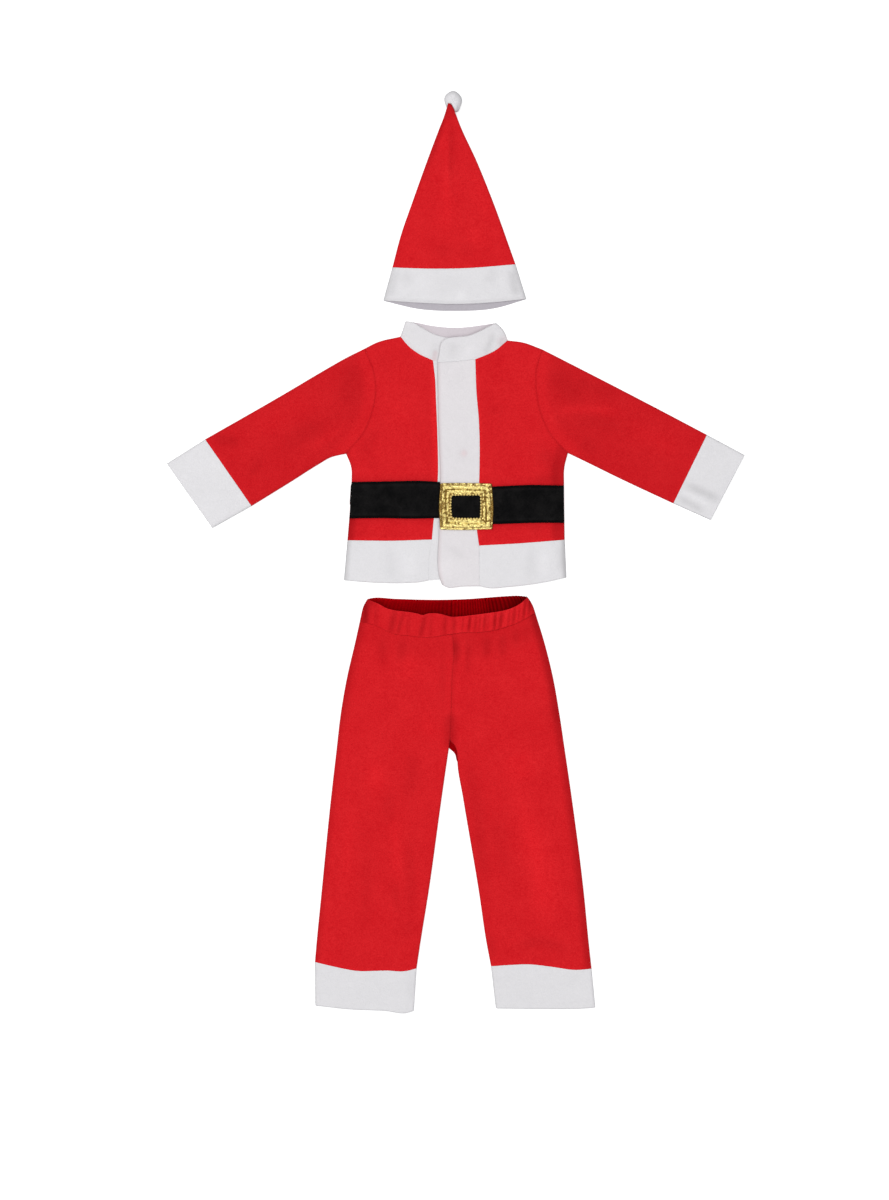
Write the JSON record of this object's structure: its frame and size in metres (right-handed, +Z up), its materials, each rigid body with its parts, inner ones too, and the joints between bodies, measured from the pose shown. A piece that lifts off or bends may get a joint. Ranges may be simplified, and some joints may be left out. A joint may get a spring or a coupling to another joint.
{
  "type": "santa suit",
  "caption": "Child's santa suit laid flat: pointed hat with a pompom, belted fleece jacket with a covered front closure, and elastic-waist trousers with white cuffs.",
  "frame": {"origin": "on the surface the suit lies on, under the middle of its bounding box", "axes": "+Y from the trouser cuffs towards the hat's pompom, +X to the right as the laid-out suit is seen from above, +Z up from the surface"},
  "size_m": [0.9216, 1.4736, 0.023],
  "materials": {
    "red_fleece": "brushed pile, matt",
    "white_fleece": "brushed pile, matt",
    "black_felt": "matt felt",
    "gold_lame": "metallic lame, crinkled",
    "press_fastener": "hook-and-loop dot, matt"
  },
  "bodies": {
    "root": {"hat_crown": "red_fleece", "hat_brim": "white_fleece", "hat_pompom": "white_fleece", "jacket_back": "red_fleece", "jacket_front_left": "red_fleece", "jacket_front_right": "red_fleece", "sleeve_left": "red_fleece", "sleeve_right": "red_fleece", "sleeve_cuff_left": "white_fleece", "sleeve_cuff_right": "white_fleece", "collar": "white_fleece", "placket": "white_fleece", "underlap": "white_fleece", "hem_band_left": "white_fleece", "hem_band_right": "white_fleece", "hem_band_back": "white_fleece", "belt_left": "black_felt", "belt_right": "black_felt", "buckle": "gold_lame", "fastener_upper": "press_fastener", "fastener_lower": "press_fastener", "trouser_front_left": "red_fleece", "trouser_front_right": "red_fleece", "trouser_back_left": "red_fleece", "trouser_back_right": "red_fleece", "waistband_front": "red_fleece", "waistband_back": "red_fleece", "leg_cuff_left": "white_fleece", "leg_cuff_right": "white_fleece"}
  },
  "joints": []
}
